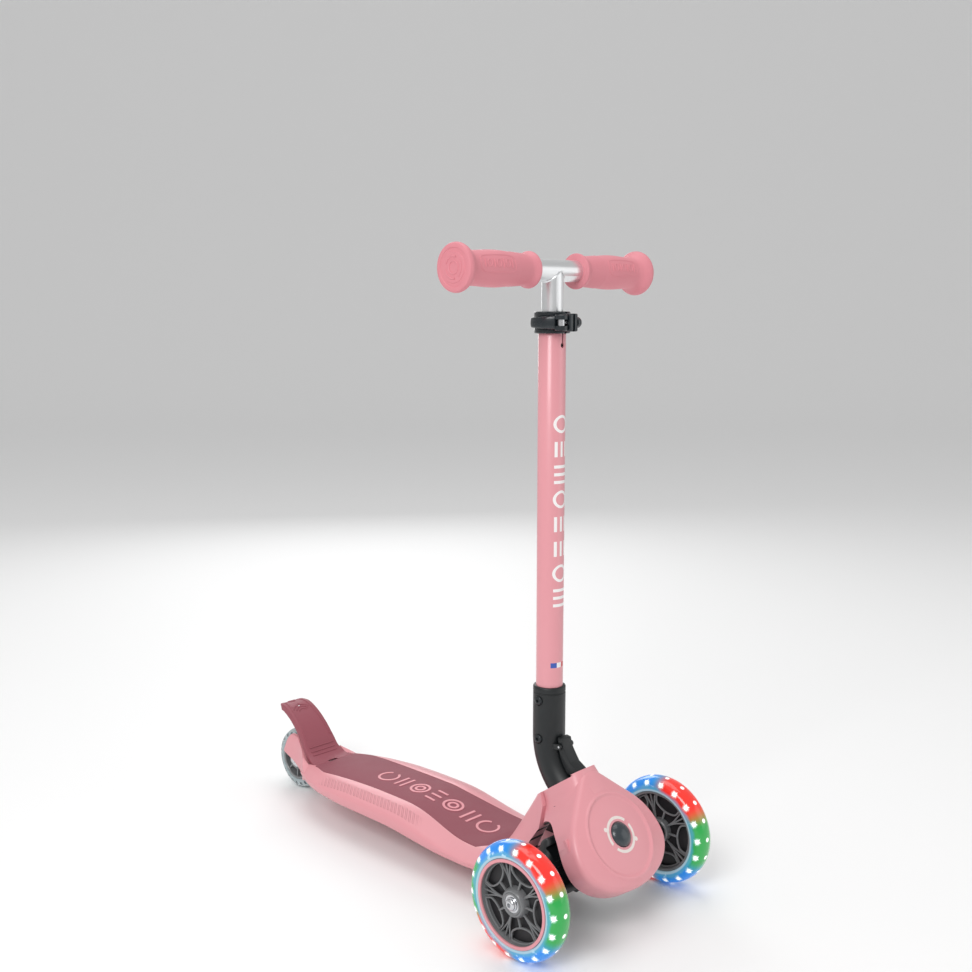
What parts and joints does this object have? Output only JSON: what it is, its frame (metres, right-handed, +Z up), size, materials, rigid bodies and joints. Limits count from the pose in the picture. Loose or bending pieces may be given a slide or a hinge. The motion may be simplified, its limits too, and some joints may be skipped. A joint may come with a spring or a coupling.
{
  "type": "kick scooter",
  "caption": "Child's folding three-wheeled kick scooter with a lean-to-steer head, light-up front wheels, rear brake flap and a height-adjustable T-bar.",
  "frame": {"origin": "on the floor, at the middle of the footprint", "axes": "+Z up; +Y from the front wheels to the rear wheel; +X to the rider's left"},
  "size_m": [0.28, 0.605, 0.6953],
  "materials": {
    "pink_plastic": "smooth moulded satin",
    "pink_trim": "smooth moulded satin",
    "pink_paint": "smooth powder coat",
    "grip_rubber": "matt with moulded ribs",
    "maroon_plastic": "fine grain",
    "black_nylon": "fine grain",
    "slate_plastic": "fine grain",
    "grey_plastic": "satin",
    "clear_urethane": "clear, slightly milky",
    "light_ring": "translucent",
    "satin_aluminium": "satin anodised",
    "zinc_steel": "bright zinc",
    "bush_nylon": "plain"
  },
  "bodies": {
    "deck": {"deck_shell": "pink_plastic", "deck_grip_pad": "maroon_plastic", "front_cover": "pink_plastic", "front_frame": "black_nylon", "frame_screw_left": "zinc_steel", "frame_screw_right": "zinc_steel", "fold_pin": "zinc_steel", "kingpin": "zinc_steel", "kingpin_nut": "zinc_steel", "centring_spring": "zinc_steel", "lock_button_spring": "zinc_steel", "rear_axle": "zinc_steel", "rear_spacer_left": "zinc_steel", "rear_spacer_right": "zinc_steel", "brake_pin": "zinc_steel", "brake_spring": "zinc_steel"},
    "front_carrier": {"front_carrier": "black_nylon", "kingpin_bush_front": "bush_nylon", "kingpin_bush_rear": "bush_nylon", "front_axle_bolt_left": "zinc_steel", "front_axle_bolt_right": "zinc_steel", "axle_spacer_left": "zinc_steel", "axle_spacer_right": "zinc_steel"},
    "front_wheel_left": {"front_tyre_left": "clear_urethane", "front_rim_left": "grey_plastic", "light_ring_left": "light_ring", "trim_ring_left": "pink_trim", "outer_bearing_left": "zinc_steel", "inner_bearing_left": "zinc_steel"},
    "front_wheel_right": {"front_tyre_right": "clear_urethane", "front_rim_right": "grey_plastic", "light_ring_right": "light_ring", "trim_ring_right": "pink_trim", "outer_bearing_right": "zinc_steel", "inner_bearing_right": "zinc_steel"},
    "rear_wheel": {"rear_tyre": "clear_urethane", "rear_rim": "grey_plastic", "rear_bearing_left": "zinc_steel", "rear_bearing_right": "zinc_steel"},
    "brake_flap": {"brake_flap": "maroon_plastic", "brake_pad": "zinc_steel"},
    "stem": {"stem_elbow": "black_nylon", "outer_tube": "pink_paint", "tube_sleeve": "black_nylon", "elbow_screw_upper": "black_nylon", "elbow_screw_lower": "black_nylon", "clamp_collar": "slate_plastic", "clamp_bolt": "zinc_steel", "clamp_nut": "slate_plastic", "fold_lever_pin": "zinc_steel"},
    "t_bar": {"t_bar": "satin_aluminium", "grip_left": "grip_rubber", "grip_right": "grip_rubber", "height_button_spring": "zinc_steel"},
    "clamp_lever": {"clamp_lever": "slate_plastic"},
    "fold_lever": {"fold_lever": "black_nylon"},
    "steering_lock_button": {"steering_lock_button": "slate_plastic"},
    "height_button": {"height_button": "zinc_steel"}
  },
  "joints": [
    {"name": "steering", "type": "hinge", "parent": "deck", "child": "front_carrier", "pos_m": [0, -0.2755, 0.101], "axis": [0, -0.8192, 0.5736], "range_deg": [-16, 16], "stiffness_Nm_per_rad": 20},
    {"name": "front_wheel_left_spin", "type": "hinge", "parent": "front_carrier", "child": "front_wheel_left", "pos_m": [0.117, -0.2425, 0.06], "axis": [1, 0, 0], "continuous": true},
    {"name": "front_wheel_right_spin", "type": "hinge", "parent": "front_carrier", "child": "front_wheel_right", "pos_m": [-0.117, -0.2425, 0.06], "axis": [1, 0, 0], "continuous": true},
    {"name": "rear_wheel_spin", "type": "hinge", "parent": "deck", "child": "rear_wheel", "pos_m": [0, 0.2625, 0.04], "axis": [1, 0, 0], "continuous": true},
    {"name": "brake_press", "type": "hinge", "parent": "deck", "child": "brake_flap", "pos_m": [0, 0.1985, 0.049], "axis": [-1, 0, 0], "range_deg": [0, 4.8], "stiffness_Nm_per_rad": 1.5, "springref_deg": -8.59},
    {"name": "fold", "type": "hinge", "parent": "deck", "child": "stem", "pos_m": [0, -0.21277, 0.11824], "axis": [-1, 0, 0], "range_deg": [0, 83]},
    {"name": "height_slide", "type": "slide", "parent": "stem", "child": "t_bar", "axis": [0, 0, 1], "range_m": [0, 0.15]},
    {"name": "clamp_lever_swing", "type": "hinge", "parent": "stem", "child": "clamp_lever", "pos_m": [-0.0135, -0.1998, 0.62], "axis": [0, 0, 1], "range_deg": [0, 120]},
    {"name": "fold_lever_press", "type": "hinge", "parent": "stem", "child": "fold_lever", "pos_m": [0, -0.19854, 0.17648], "axis": [-1, 0, 0], "range_deg": [0, 3], "stiffness_Nm_per_rad": 0.5, "springref_deg": -8.59},
    {"name": "lock_press", "type": "slide", "parent": "deck", "child": "steering_lock_button", "axis": [0, 0.8192, -0.5736], "range_m": [0, 0.003], "stiffness_N_per_m": 200, "springref_m": -0.003, "deforming": ["lock_button_spring"]},
    {"name": "height_button_press", "type": "slide", "parent": "t_bar", "child": "height_button", "axis": [0, 1, 0], "range_m": [0, 0.003]}
  ]
}
